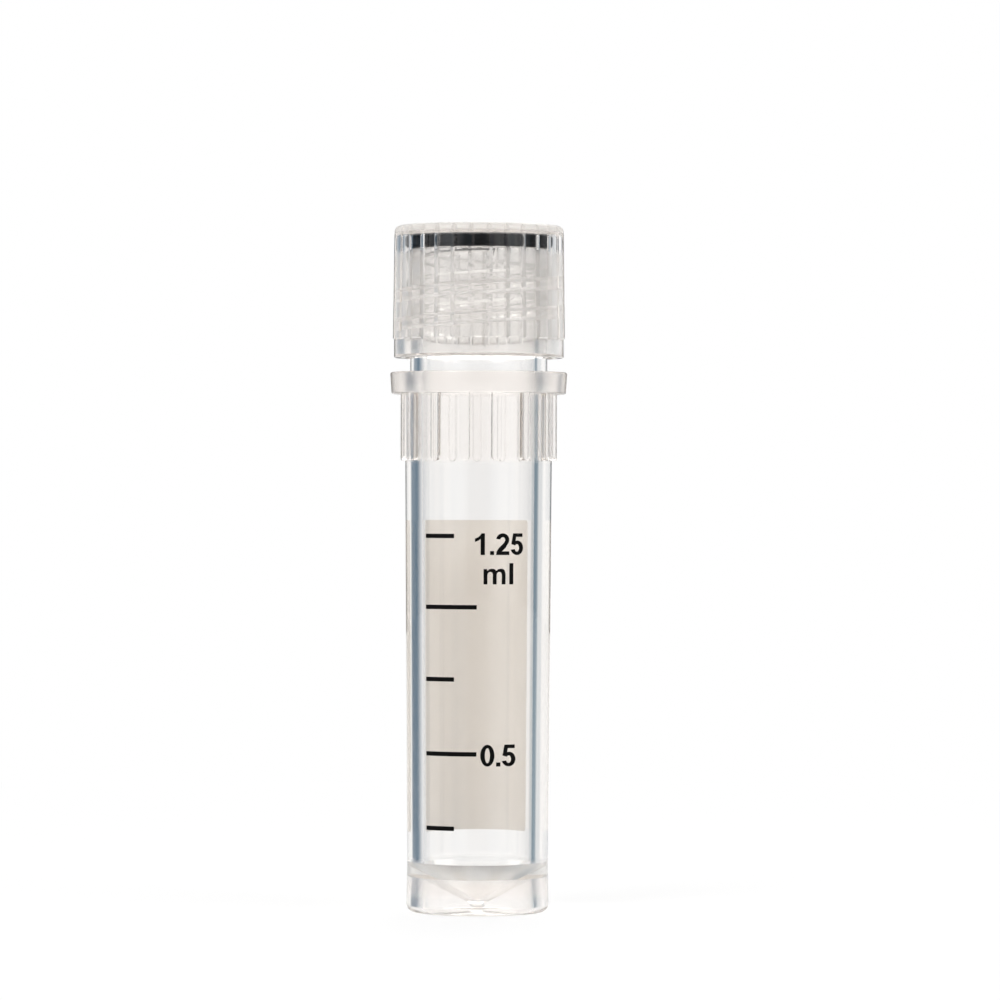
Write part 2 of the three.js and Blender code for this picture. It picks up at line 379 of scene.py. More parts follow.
def fitted(piece, material, body, node=None):
    """Gives a finished piece its material and its body, and hides the CAD node that it stands for.
    """
    piece.data.materials.clear()
    piece.data.materials.append(material)
    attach(piece, body)
    if node:
        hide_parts(node)


# ---- Thread ----

TUBE_TURNS = 2.6
CAP_TURNS = 2.0
CAP_DELAY = 0.6  # turns from the upper end of the tube's thread to that of the cap's
THREAD_FADE = 0.16  # the part of a turn over which each end fades
THREAD_END = math.radians(28 - 90)  # direction of the tube thread's upper end
THREAD_END_RISE = 0.06 * MM  # its middle, above the mouth
THREAD_STEPS = 96  # in one turn
THREAD_EDGE = 0.08 * MM  # rounding of the crest
SINK = 0.3 * MM  # how deep a rib or ridge is rooted in its wall
BURY = 0.06 * MM  # how deep under its wall a thread's faded end lies


def thread_ridge(name, wall, side, turns, end_angle, end_z, ceiling):
    """A straight bar of the thread's section, wrapped round the axis as a fading helix.

    Side 1 stands outwards from the wall, side -1 inwards. end_angle and end_z are its upper end.
    """
    thread = bpy.context.scene.vial_thread
    flank = (thread.root - thread.crest) / 2 / thread.height
    foot = thread.root / 2 + flank * SINK
    deselect()
    bpy.ops.mesh.primitive_cube_add(size=1)
    bar = just_added(name)
    # x runs along the bar in turns, y along the axis, z out of the wall.
    moved(
        bar,
        lambda x, y, z: (
            (x + 0.5) * turns,
            2 * y * (thread.crest / 2 if z > 0 else foot),
            thread.height if z > 0 else -SINK,
        ),
    )
    round_edges(bar, lambda a, b: min(a.z, b.z) > 0 and a.x != b.x, THREAD_EDGE, 3)
    edit_edges(
        bar,
        lambda a, b: abs(a.x - b.x) > turns / 2,
        bpy.ops.mesh.subdivide,
        number_cuts=math.ceil(turns * THREAD_STEPS) - 1,
    )

    def wrap(x, y, z):
        left = turns - x
        t = min(max(min(x, left) / THREAD_FADE, 0), 1)
        fullness = t * t * (3 - 2 * t)
        rise = z if z < 0 else fullness * (z + BURY) - BURY
        turn = end_angle - left * FULL_TURN
        radius = wall + side * rise
        height = min(end_z - left * thread.pitch - side * y, ceiling)
        return radius * math.cos(turn), radius * math.sin(turn), height

    return facing_out(moved(bar, wrap))


# ---- Materials ----


class Value:
    """A number on its way through a shader. Arithmetic on it adds Math nodes."""

    def __init__(self, bench, socket):
        self.bench, self.socket = bench, socket

    def math(self, operation, *others):
        return self.bench.node("ShaderNodeMath", {"operation": operation}, [self, *others])

    def __add__(self, other):
        return self.math("ADD", other)

    def __mul__(self, other):
        return self.math("MULTIPLY", other)

    def __sub__(self, other):
        return self.math("SUBTRACT", other)

    def __rsub__(self, other):
        return self.bench.node("ShaderNodeMath", {"operation": "SUBTRACT"}, [other, self])

    def __truediv__(self, other):
        return self.math("DIVIDE", other)

    def __gt__(self, other):
        return self.math("GREATER_THAN", other)

    def __lt__(self, other):
        return self.math("LESS_THAN", other)

    __radd__, __rmul__ = __add__, __mul__

    def ramp(self, low, high):
        """0 at low, 1 at high, and smooth between them."""
        return self.bench.node(
            "ShaderNodeMapRange",
            {"interpolation_type": "SMOOTHSTEP"},
            {"Value": self, "From Min": low, "From Max": high},
        )

    def strip(self, start, full, fade, end):
        """0 up to start, 1 between full and fade, and 0 again from end."""
        return self.ramp(start, full) * (1 - self.ramp(fade, end))


class Bench:
    """A cleared node tree and the one method that adds nodes to it."""

    def __init__(self, owner):
        owner.use_nodes = True
        self.owner, self.tree = owner, owner.node_tree
        self.tree.nodes.clear()

    def node(self, kind, settings=None, sockets=None, output=0):
        """Adds a node, sets its settings, then fills or links its sockets."""
        made = self.tree.nodes.new(kind)
        for key, value in (settings or {}).items():
            if key == "stops":
                self.set_stops(made.color_ramp, value)
            else:
                setattr(made, key, value)
        pairs = enumerate(sockets) if isinstance(sockets, list) else (sockets or {}).items()
        for key, value in pairs:
            if isinstance(value, Value):
                self.tree.links.new(value.socket, made.inputs[key])
            else:
                made.inputs[key].default_value = value
        return Value(self, made.outputs[output]) if made.outputs else made

    def set_stops(self, ramp, stops):
        """Gives a colour ramp its (place, colour) stops."""
        while len(ramp.elements) > 1:
            ramp.elements.remove(ramp.elements[-1])
        ramp.elements[0].position, ramp.elements[0].color = stops[0]
        for position, tint in stops[1:]:
            ramp.elements.new(position).color = tint

    def mix(self, factor, a, b, kind="MIX"):
        """A colour between a and b."""
        return self.node(
            "ShaderNodeMix",
            {"data_type": "RGBA", "blend_type": kind},
            {0: factor, 6: a, 7: b},
            output=2,
        )

    def blend(self, factor, a, b):
        """A shader between a and b."""
        return self.node("ShaderNodeMixShader", None, [factor, a, b])

    def noise(self, scale, detail, stretch=None):
        """A cloudy pattern from 0 to 1, whose grains are about 1 / scale metres wide."""
        place = self.node("ShaderNodeTexCoord", output="Object")
        if stretch:
            place = self.node("ShaderNodeMapping", None, {"Vector": place, "Scale": stretch})
        return self.node(
            "ShaderNodeTexNoise", None, {"Vector": place, "Scale": scale, "Detail": detail}
        )

    def bump(self, height, distance, strength):
        """A normal for a surface that stands up by height times distance."""
        return self.node(
            "ShaderNodeBump", None, {"Height": height, "Distance": distance, "Strength": strength}
        )

    def finish(self, surface, kind="ShaderNodeOutputMaterial", volume=None):
        """Links the finished shader to the output and hands back the material or world."""
        self.node(kind, None, {"Surface": surface} | ({"Volume": volume} if volume else {}))
        return self.owner


def rgba(tint, part=1.0):
    """A colour with its fourth number, or a darker part of it."""
    return (*(c * part for c in tint), 1.0)


WHITE = rgba((1.0, 1.0, 1.0))


def new_material(name):
    return Bench(bpy.data.materials.new(name))


def through_for_lamps(bench, surface, part):
    """Lets lamp light through a clear wall, so that what stands behind it is lit."""
    lamp = bench.node("ShaderNodeLightPath", output="Is Shadow Ray")
    clear = bench.node("ShaderNodeBsdfTransparent", None, {"Color": rgba(WHITE[:3], part)})
    return bench.blend(lamp, surface, clear)


PLASTIC_IOR = 1.49
PER_10_MM = 100.0  # absorption for each metre, at which a depth colour is that of 10 mm
LAMPS_THROUGH_TUBE = 0.985  # the part of a lamp's light that passes a surface
LAMPS_THROUGH_CAP = 0.95
PROFILE_TOP = 50  # mm, above the whole vial
# How rough and how hazy the plastic is, at heights in mm above the bench.
TUBE_ROUGHNESS = [
    (1.0, 0.02), (1.3, 0.08), (3.45, 0.1), (3.7, 0.01),  # floor
    (31.0, 0.01), (31.3, 0.08), (35.6, 0.08),  # ribs
    (35.8, 0.16), (37.1, 0.16), (37.25, 0.01),  # flange
]
TUBE_HAZE = [
    (0.9, 0.1), (1.3, 0.35), (2.45, 0.5), (3.4, 0.5), (3.7, 0.0),
    (30.9, 0.0), (31.3, 0.2), (35.6, 0.2),
    (35.8, 0.33), (37.1, 0.33), (37.25, 0.0),
]
CAP_ROUGHNESS = [
    (39.3, 0.05), (39.7, 0.07), (45.2, 0.07),  # skirt
    (45.6, 0.04), (46.6, 0.04), (46.8, 0.3),  # round the ring, and the plate
]
CAP_HAZE = [(39.3, 0.25), (39.7, 0.62), (45.2, 0.62), (45.6, 0.0), (46.6, 0.0), (46.8, 1.3)]
# The ledge band, where the haze takes its cool grey colour, which is partly painted reflection.
IN_FLOOR = [(2.3, 0.0), (2.5, 1.0), (3.5, 1.0), (3.8, 0.0)]
ON_NECK = [(37.0, 0.0), (37.4, 1.0)]
MOULD_TURN = math.radians(-24.5)  # direction of the mould line, from the side
MOULD_LINE = (0.02 * MM, 0.09 * MM)  # half its width, without and with its slopes


def axes(bench, coordinates="Object"):
    """The x, y and z of each point of a piece, or of each direction in the room."""
    place = bench.node("ShaderNodeTexCoord", output=coordinates)
    parts = bench.node("ShaderNodeSeparateXYZ", None, [place]).socket.node
    return [Value(bench, output) for output in parts.outputs]


def profile(bench, stops):
    """A number that changes up a piece, from (height in mm, value) pairs."""
    stops = [(z / PROFILE_TOP, rgba([value] * 3)) for z, value in stops]
    height = axes(bench)[2] / (PROFILE_TOP * MM)
    return bench.node("ShaderNodeValToRGB", {"stops": stops}, [height])


def mould_line(bench):
    """The two fine raised lines on the neck, where the halves of the mould met."""
    x, y, _ = axes(bench)
    away = (x * math.cos(MOULD_TURN) + y * math.sin(MOULD_TURN)).math("ABSOLUTE")
    return profile(bench, ON_NECK) * (1 - away.ramp(*MOULD_LINE))


def see_through(bench, tint, depth_tint, roughness, normal):
    """Clear plastic: a tint for each wall, and one that deepens along the way inside it."""
    shader = bench.node(
        "ShaderNodeBsdfPrincipled",
        None,
        {
            "Base Color": tint,
            "Roughness": roughness,
            "IOR": PLASTIC_IOR,
            "Transmission Weight": 1.0,
            "Normal": normal,
        },
    )
    inside = bench.node(
        "ShaderNodeVolumeAbsorption", None, {"Color": rgba(depth_tint), "Density": PER_10_MM}
    )
    return shader, inside


def milk(bench, tint, cloud, roughness, normal):
    """What the haze in the plastic shows: light scattered back, a little uneven."""
    uneven = bench.mix(cloud, WHITE, rgba(WHITE[:3], 0.93))
    return bench.node(
        "ShaderNodeBsdfPrincipled",
        None,
        {
            "Base Color": bench.mix(1.0, tint, uneven, "MULTIPLY"),
            "Roughness": roughness,
            "IOR": PLASTIC_IOR,
            "Specular IOR Level": 0.3,
            "Normal": normal,
        },
    )


def clear_plastic():
    """Clear moulded polypropylene: flow ripples, an uneven polish, milkier where it is thick."""
    colours = bpy.context.scene.vial_colours
    bench = new_material("clear_polypropylene")
    cloud = bench.noise(700, 3.0)
    ripple = bench.noise(260, 3.0, stretch=(1.0, 1.0, 0.25))
    polish = bench.noise(900, 2.0)
    normal = bench.bump(ripple + 6 * mould_line(bench), 0.004 * MM, 0.5)
    roughness = profile(bench, TUBE_ROUGHNESS) + 0.03 * polish
    haze = colours.haze * profile(bench, TUBE_HAZE) * (0.85 + 0.3 * cloud)
    clear, inside = see_through(bench, rgba(colours.tube), colours.tube_depth, roughness, normal)
    # In the ledge band the haze is cool grey: partly the plastic's milky tone, partly painted
    # reflection of dark surroundings.
    in_floor = profile(bench, IN_FLOOR)
    tint = bench.mix(in_floor, rgba(colours.tube_milk), rgba(colours.floor_haze_and_painted_reflection))
    surface = bench.blend(haze, clear, milk(bench, tint, cloud, 0.3, normal))
    surface = through_for_lamps(bench, surface, LAMPS_THROUGH_TUBE)
    return bench.finish(surface, volume=inside)


def cap_plastic():
    """Natural polypropylene: hazy walls, clearer where they press the ring in place."""
    colours = bpy.context.scene.vial_colours
    bench = new_material("natural_polypropylene")
    cloud = bench.noise(420, 3.0)
    ripple = bench.noise(300, 3.0, stretch=(1.0, 1.0, 0.3))
    normal = bench.bump(ripple, 0.004 * MM, 0.5)
    roughness = profile(bench, CAP_ROUGHNESS) + 0.03 * cloud
    haze = colours.haze * profile(bench, CAP_HAZE) * (0.85 + 0.3 * cloud)
    clear, inside = see_through(bench, rgba(colours.cap), colours.cap_depth, roughness, normal)
    tint = rgba(colours.cap_milk)
    surface = bench.blend(haze, clear, milk(bench, tint, cloud, 0.4, normal))
    surface = through_for_lamps(bench, surface, LAMPS_THROUGH_CAP)
    return bench.finish(surface, volume=inside)


RUBBER_BLOOM = (0.008, 0.009, 0.011)  # the greyer film that rubber gets in places
RUBBED_BLACK = (0.004, 0.004, 0.004)
RUBBED_WHITE = 0.95  # what is left of a pale ink's colour where it is rubbed
LOW_GLOSS = 0.05  # specular level of rubber and ink


def black_rubber():
    """Satin black rubber with a fine moulded grain."""
    colours = bpy.context.scene.vial_colours
    bench = new_material("black_rubber")
    grain = bench.noise(5200, 3.0)
    bloom = bench.noise(700, 3.0)
    surface = bench.node(
        "ShaderNodeBsdfPrincipled",
        None,
        {
            "Base Color": bench.mix(bloom, rgba(colours.ring), rgba(RUBBER_BLOOM)),
            "Roughness": 0.42 + 0.2 * bloom,
            "Specular IOR Level": LOW_GLOSS,
            "Normal": bench.bump(grain, 0.006 * MM, 0.6),
        },
    )
    return bench.finish(surface)


def ink(name, tint, rubbed_tint, roughness, face_tint=None):
    """Screen-printed ink: a fine mottle, and a weave where the mesh left less of it."""
    bench = new_material(name)
    mottle = bench.noise(1400, 4.0)
    weave = bench.noise(9000, 2.0)
    coat = bench.mix(mottle, rgba(tint), rgba(rubbed_tint))
    if face_tint:
        # Painted light: the inner side, seen through the wall, is painted whiter than the writing
        # face, to make up for the light that the tube's walls take.
        x, y, z = axes(bench)
        outside = (x * x + y * y).math("SQRT") > barrel_radius(z)
        face = bench.mix(mottle, rgba(face_tint), rgba(face_tint, RUBBED_WHITE))
        coat = bench.mix(outside, coat, face)
    surface = bench.node(
        "ShaderNodeBsdfPrincipled",
        None,
        {
            "Base Color": coat,
            "Roughness": roughness + 0.15 * mottle,
            "Specular IOR Level": LOW_GLOSS,
            "Normal": bench.bump(weave, 0.003 * MM, 0.6),
        },
    )
    return bench.finish(surface)


# ---- The tube ----

SIDES = 256  # of the tube and of the ring
CAP_SIDES = 240  # a multiple of the number of grooves


class VIAL_OT_tube(bpy.types.Operator):
    """Turns the clear tube on its axis and joins its ribs and its thread to it"""

    bl_idname = "vial.tube"
    bl_label = "Tube"

    def rib(self, size, barrel):
        """A bar at the front of the barrel, with a round lower end and rounded crest."""
        half = size.rib_width / 2
        end, edge = 0.98 * half, 0.1 * MM
        deselect()
        bpy.ops.mesh.primitive_cube_add(size=1)
        bar = just_added("rib")
        moved(
            bar,
            lambda x, y, z: (
                2 * x * half,
                -(barrel - SINK) if y > 0 else -(barrel + size.rib_height),
                0.0 if z > 0 else -size.rib_length,
            ),
        )
        round_edges(bar, lambda a, b: max(a.z, b.z) < 0 and a.y != b.y, end, 10)
        round_edges(
            bar,
            lambda a, b: max(a.y, b.y) < -barrel and min(a.z, b.z) < -SAME_VERTEX,
            edge,
            4,
        )
        return bar

    def execute(self, context):
        size = context.scene.vial_tube
        thread = context.scene.vial_thread
        skirt_step, foot, mouth, flange_edge = 0.055 * MM, 0.55 * MM, 0.15 * MM, 0.12 * MM
        # The gate is the short peg under the floor, where the plastic flowed in.
        gate, gate_z, gate_edge, gate_length = 0.5 * MM, 0.4 * MM, 0.12 * MM, 0.29 * MM
        roof_lean, flange_lean, swell = 0.2 * MM, 0.08 * MM, 0.03 * MM
        swell_below_ribs = 0.4 * MM
        tip, tip_z, tip_rise = 0.3 * MM, 1.2 * MM, 0.12 * MM
        barrel = size.bore + size.barrel_wall
        barrel_foot = barrel - size.barrel_draft
        skirt = barrel_foot + skirt_step
        hollow = skirt - size.skirt_wall
        floor_z = size.skirt_depth + size.ledge
        top = size.height - size.neck_length
        under = top - size.flange_thickness
        neck = size.bore + size.neck_wall
        flange_low = size.flange_radius - flange_lean
        outline = [
            (0, gate_z),
            (gate - gate_edge, gate_z),
            (gate, gate_z + gate_edge),
            (gate, gate_z + gate_length),
            (hollow - roof_lean, size.skirt_depth),
            (hollow, 0),
            *rounded(skirt - foot, foot, foot, -90, 0, 10),
            (barrel_foot, floor_z),
            (barrel - swell, under - size.rib_length - swell_below_ribs),
            (barrel, under),
            *rounded(flange_low - flange_edge, under + flange_edge, flange_edge, -90, 0, 4),
            *rounded(
                size.flange_radius - flange_edge, top - flange_edge, flange_edge, 0, 90, 4
            ),
            (neck, top),
            *rounded(neck - mouth, size.height - mouth, mouth, 0, 90, 5),
            *rounded(size.bore + mouth, size.height - mouth, mouth, 90, 180, 5),
            (size.bore - size.bore_draft, floor_z),
            (tip, tip_z + tip_rise),
            (0, tip_z),
        ]
        tube = lathe("tube_wall", outline, SIDES)
        ribs = turned_copies(
            moved(self.rib(size, barrel), lambda x, y, z: (x, y, z + under)),
            size.rib_count,
            size.rib_phase,
        )
        combine(tube, ribs, "UNION")
        ridge = thread_ridge(
            "tube_thread",
            neck,
            1,
            TUBE_TURNS,
            THREAD_END,
            size.height + THREAD_END_RISE,
            size.height - mouth / 2,
        )
        combine(tube, ridge, "UNION")
        smoothed(tube)
        fitted(tube, clear_plastic(), "tube", "tube")
        return {"FINISHED"}


# ---- The cap ----


class VIAL_OT_cap(bpy.types.Operator):
    """Turns the screw cap, adds its inside thread and cuts its grip grooves"""

    bl_idname = "vial.cap"
    bl_label = "Screw cap"

    def execute(self, context):
        size = context.scene.vial_cap
        tube = context.scene.vial_tube
        thread = context.scene.vial_thread
        neck = tube.bore + tube.neck_wall
        bore = neck + thread.height + thread.side_gap
        rim = bore + size.wall
        rim_z = CAP_LOW.z
        top_z = CAP_HIGH.z
        roof = top_z - size.plate
        crest = rim + size.grip_step
        rim_edge, lead_in, edge = 0.1 * MM, 0.25 * MM, 0.45 * MM
        start = rim_z + size.grip_start
        outline = [
            (0, roof),
            (bore, roof),
            (bore, rim_z + lead_in),
            (bore + lead_in, rim_z),
            *rounded(rim - rim_edge, rim_z + rim_edge, rim_edge, -90, 0, 4),
            (rim, start - size.grip_step),
            (crest, start),
            *rounded(crest - size.draft - edge, top_z - edge, edge, 0, 90, 8),
            (0, top_z),
        ]
        cap = lathe("cap_shell", outline, CAP_SIDES)
        overlap = thread.height - thread.side_gap
        flank = (thread.root - thread.crest) / 2 / thread.height
        drop_by = thread.crest + flank * overlap + thread.flank_gap
        ridge = thread_ridge(
            "cap_thread",
            bore,
            -1,
            CAP_TURNS,
            THREAD_END - CAP_DELAY * FULL_TURN,
            tube.height + THREAD_END_RISE - CAP_DELAY * thread.pitch - drop_by,
            roof,
        )
        combine(cap, ridge, "UNION")
        groove = self.groove(size, crest, start, top_z)
        grooves = turned_copies(groove, size.grip_count, size.grip_phase)
        combine(cap, grooves, "DIFFERENCE")
        smoothed(cap)
        fitted(cap, cap_plastic(), "cap", "screw_cap")
        return {"FINISHED"}

    def groove(self, size, crest, start, top_z):
        """A leaning wedge at the front, whose lower end leaves the wall in a point."""
        over, run_out, bottom = 0.3 * MM, 0.45 * MM, 0.02 * MM
        spread = (size.grip_width / 2) * (size.grip_depth + over) / size.grip_depth
        deselect()
        bpy.ops.mesh.primitive_cube_add(size=1)
        wedge = just_added("groove")
        low_z = start - run_out
        edit_edges(wedge, lambda a, b: a.z != b.z, bpy.ops.mesh.subdivide, number_cuts=1)

        def place(x, y, z):
            radius, height = {
                -0.5: (crest + size.grip_depth, low_z),
                0.0: (crest, start),
                0.5: (crest - size.draft, top_z + over),
            }[z]
            if y > 0:
                return x * bottom, -(radius - size.grip_depth), height
            return 2 * x * spread, -(radius + over), height

        moved(wedge, place)
        return wedge


# ---- The sealing ring ----


class VIAL_OT_ring(bpy.types.Operator):
    """Turns the black sealing ring that is pressed between the tube's mouth and the cap"""

    bl_idname = "vial.ring"
    bl_label = "Sealing ring"

    def execute(self, context):
        size = context.scene.vial_ring
        outer = RING_HIGH.x
        inner = outer - size.width
        low, high, edge = RING_LOW.z, RING_HIGH.z, size.edge
        outline = [
            *rounded(outer - edge, low + edge, edge, -90, 0, 8),
            *rounded(outer - edge, high - edge, edge, 0, 90, 8),
            *rounded(inner + edge, high - edge, edge, 90, 180, 8),
            *rounded(inner + edge, low + edge, edge, 180, 270, 8),
        ]
        ring = lathe("sealing_gasket", outline + outline[:1], SIDES)
        smoothed(ring, 40)
        fitted(ring, black_rubber(), "ring_carrier", "sealing_ring")
        return {"FINISHED"}


# ---- Prints ----

# Marks up the barrel: height, and where the line ends, in degrees right of the front.
MARKS = [
    (5.98 * MM, -19.0),
    (11.07 * MM, -0.8),
    (16.16 * MM, -19.0),
    (21.09 * MM, -0.8),
    (25.94 * MM, -19.0),
]
MARKS_LEFT = -45.3  # where every line starts, in degrees right of the front
MARK_CORNER = 0.02 * MM
PRINT_STEP = math.radians(3)  # a print bends round the barrel in strips this wide
# Bold numeral outlines, one digit high. A second line inside the first is a hole.
GLYPHS = {
    "0": [arc(0.33, 0.5, 0.33, 0.5, 0, 345, 23), arc(0.33, 0.5, 0.12, 0.345, 0, 345, 23)],
    "1": [
        [(0.44, 0), (0.44, 1), (0.285, 1), (0.225, 0.89), (0.13, 0.81), (0, 0.76), (0, 0.60)]
        + [(0.13, 0.65), (0.25, 0.73), (0.25, 0)]
    ],
    "2": [
        [(0, 0), (0.61, 0), (0.61, 0.17), (0.275, 0.17), (0.43, 0.33)]
        + arc(0.305, 0.70, 0.30, 0.30, -35, 172, 16)
        + arc(0.305, 0.70, 0.115, 0.125, 172, -30, 12)
        + [(0.35, 0.545), (0.13, 0.33), (0.03, 0.17)]
    ],
    "5": [
        [(0.03, 0.50), (0.11, 1), (0.55, 1), (0.55, 0.835), (0.245, 0.835), (0.22, 0.65)]
        + arc(0.29, 0.335, 0.295, 0.335, 90, -165, 18)
        + arc(0.285, 0.33, 0.11, 0.175, -160, 140, 16)
    ],
    ".": [[(0, 0), (0.185, 0), (0.185, 0.185), (0, 0.185)]],
    "l": [[(0, 0), (0.18, 0), (0.18, 1), (0, 1)]],
    "m": [
        [(0, 0), (0.18, 0), (0.18, 0.45), (0.205, 0.53), (0.26, 0.58), (0.33, 0.585)]
        + [(0.40, 0.555), (0.435, 0.47), (0.435, 0), (0.615, 0), (0.615, 0.45)]
        + [(0.64, 0.53), (0.695, 0.58), (0.765, 0.585), (0.835, 0.555), (0.87, 0.47)]
        + [(0.87, 0), (1.05, 0), (1.05, 0.50), (1.02, 0.64), (0.94, 0.72), (0.82, 0.74)]
        + [(0.70, 0.715), (0.60, 0.635), (0.52, 0.715), (0.40, 0.74), (0.27, 0.715)]
        + [(0.17, 0.63), (0.17, 0.72), (0, 0.72)]
    ],
}
# Words on the barrel: name, place of the left edge in degrees, foot and height of the
# digits, then each glyph with its place along the word and its width in digit heights.
WORDS = [
    (
        "numerals_1_25", -2.4, 24.65 * MM, 1.48 * MM,
        [("1", 0, 0.46), (".", 0.70, 0.185), ("2", 0.98, 0.645), ("5", 1.70, 0.665)],
    ),
    ("numerals_ml", 4.4, 22.65 * MM, 1.45 * MM, [("m", 0, 1.06), ("l", 1.262, 0.2)]),
    (
        "numerals_0_5", 2.2, 10.24 * MM, 1.49 * MM,
        [("0", 0, 0.654), (".", 0.736, 0.2), ("5", 1.005, 0.69)],
    ),
]


def barrel_radius(z):
    """The barrel's outer radius at a height."""
    size = bpy.context.scene.vial_tube
    top = size.height - size.neck_length - size.flange_thickness
    low = size.skirt_depth + size.ledge
    part = (z - low) / (top - low)
    return size.bore + size.barrel_wall - size.barrel_draft * (1 - part)


def wrap_round(piece):
    """Bends a flat print round the barrel: x is the angle to the right of the front."""

    def wrap(x, y, z):
        radius = barrel_radius(z) + y
        return radius * math.sin(x), -radius * math.cos(x), z

    return facing_out(moved(piece, wrap))


def slice_upright(piece, start, end):
    """Cuts a flat print into upright strips, so that it can bend smoothly."""
    pick(piece)
    bpy.ops.object.mode_set(mode="EDIT")
    for i in range(1, math.ceil((end - start) / PRINT_STEP)):
        bpy.ops.mesh.select_all(action="SELECT")
        bpy.ops.mesh.bisect(
            plane_co=(start + i * PRINT_STEP, 0, 0), plane_no=(1, 0, 0), threshold=SAME_POINT
        )
    bpy.ops.object.mode_set(mode="OBJECT")


def printed_bar(name, start, end, low, high, corner):
    """A flat bar with rounded corners, wrapped on the barrel as a thin layer of ink."""
    ink_depth = bpy.context.scene.vial_prints.ink_depth
    radius = barrel_radius((low + high) / 2)
    deselect()
    bpy.ops.mesh.primitive_cube_add(size=1)
    bar = just_added(name)
    # Drawn true to length first, so that its corners are round.
    moved(
        bar,
        lambda x, y, z: (
            radius * (start if x < 0 else end),
            y * ink_depth,
            low if z < 0 else high,
        ),
    )
    round_edges(bar, lambda a, b: a.y != b.y, corner, 6)
    moved(bar, lambda x, y, z: (x / radius, y, z))
    slice_upright(bar, start, end)
    return wrap_round(bar)


class VIAL_OT_patch(bpy.types.Operator):
    """Prints the white writing patch round the back of the barrel"""

    bl_idname = "vial.patch"
    bl_label = "Writing patch"

    def execute(self, context):
        size = context.scene.vial_prints
        colours = context.scene.vial_colours
        # The inner side's colour, painted whiter than the face to make up for the light lost in
        # the tube's walls.
        tint = colours.white_ink_with_painted_light
        patch = printed_bar(
            "writing_patch",
            size.patch_start,
            size.patch_end,
            size.patch_low,
            size.patch_high,
            size.patch_corner,
        )
        smoothed(patch)
        rubbed = rgba(tint, RUBBED_WHITE)[:3]
        white = ink("white_ink_with_painted_light", tint, rubbed, 0.55, colours.patch_face)
        fitted(patch, white, "tube")
        return {"FINISHED"}


class VIAL_OT_marks(bpy.types.Operator):
    """Prints the five graduation lines and their numerals"""

    bl_idname = "vial.marks"
    bl_label = "Graduations"

    def word(self, name, left, foot, digit_height, glyphs):
        """A word drawn flat, filled, given a thickness and wrapped on the barrel."""
        ink_depth = bpy.context.scene.vial_prints.ink_depth
        across = digit_height / barrel_radius(foot)
        lines = []
        for key, start, width in glyphs:
            stretch = width / max(x for line in GLYPHS[key] for x, _ in line)
            for line in GLYPHS[key]:
                points = [(start + x * stretch, z) for x, z in line]
                lines.append([(x * across, z * digit_height) for x, z in points + points[:1]])
        word = drawing(name, lines)
        bpy.ops.mesh.fill()
        bpy.ops.mesh.select_all(action="SELECT")
        bpy.ops.mesh.extrude_region_move(
            TRANSFORM_OT_translate={"value": (0, ink_depth, 0)}
        )
        bpy.ops.object.mode_set(mode="OBJECT")
        moved(word, lambda x, y, z: (x + left, y - ink_depth / 2, z + foot))
        reach = max(v.co.x for v in word.data.vertices)
        slice_upright(word, left, reach)
        return wrap_round(word)

    def execute(self, context):
        size = context.scene.vial_prints
        black = context.scene.vial_colours.black_ink
        material = ink("black_ink", black, RUBBED_BLACK, 0.4)
        for number, (height, right) in enumerate(MARKS, 1):
            line = printed_bar(
                f"graduation_{number}",
                math.radians(MARKS_LEFT),
                math.radians(right),
                height - size.mark_height / 2,
                height + size.mark_height / 2,
                MARK_CORNER,
            )
            fitted(smoothed(line), material, "tube")
        for name, left, foot, digit_height, glyphs in WORDS:
            word = self.word(name, math.radians(left), foot, digit_height, glyphs)
            fitted(smoothed(word), material, "tube")
        return {"FINISHED"}


# ---- The stage ----

FLOOR_WHITE = (0.72, 0.28)  # how much plain white shows at the vial, and what is added
OUT_OF_SHADE = (0.03, 0.16)  # metres from the vial between which it is added
# Tall boards: how dark, and where, in degrees from straight behind or in front.
LEFT_BOARDS = [(1.0, (10, 20, 36, 64)), (1.0, (66, 70, 76, 80))]
RIGHT_BOARDS = [(0.35, (26, 32, 62, 70)), (0.65, (42, 50, 62, 70))]
FAINT_BOARDS = [(0.4, (26, 32, 34, 62))]
LOW_BOARDS = (3, 6, 12, 14)  # degrees from the middle of the walls at the sides
# Heights at which the low boards end and the tall ones begin and end, as directions.
TALL_FOOT, TALL_TOP = (-0.20, -0.12), (0.14, 0.22)
WALL_DARK = (0.02, 0.022, 0.025)
WALL_TOP, WALL_SIDE = (0.2, 0.4), (12, 35)
DARK_THROUGH = 0.85  # how much of the dark walls shows in light that left the plastic
# Lamps: name, place, width in metres, and power in watts.
LAMPS = [
    ("key_lamp", (-0.30, -0.35, 0.42), 0.30, 1.2),
    ("fill_lamp", (0.38, -0.20, 0.30), 0.35, 0.7),
    ("back_lamp", (0.05, 0.45, 0.40), 0.30, 0.5),
]
LAMP_AIM = (0, 0, 0.024)


def boards(aside, rows):
    """How much of the tall boards is seen in each direction."""
    return sum(dark * aside.strip(*where) for dark, where in rows)


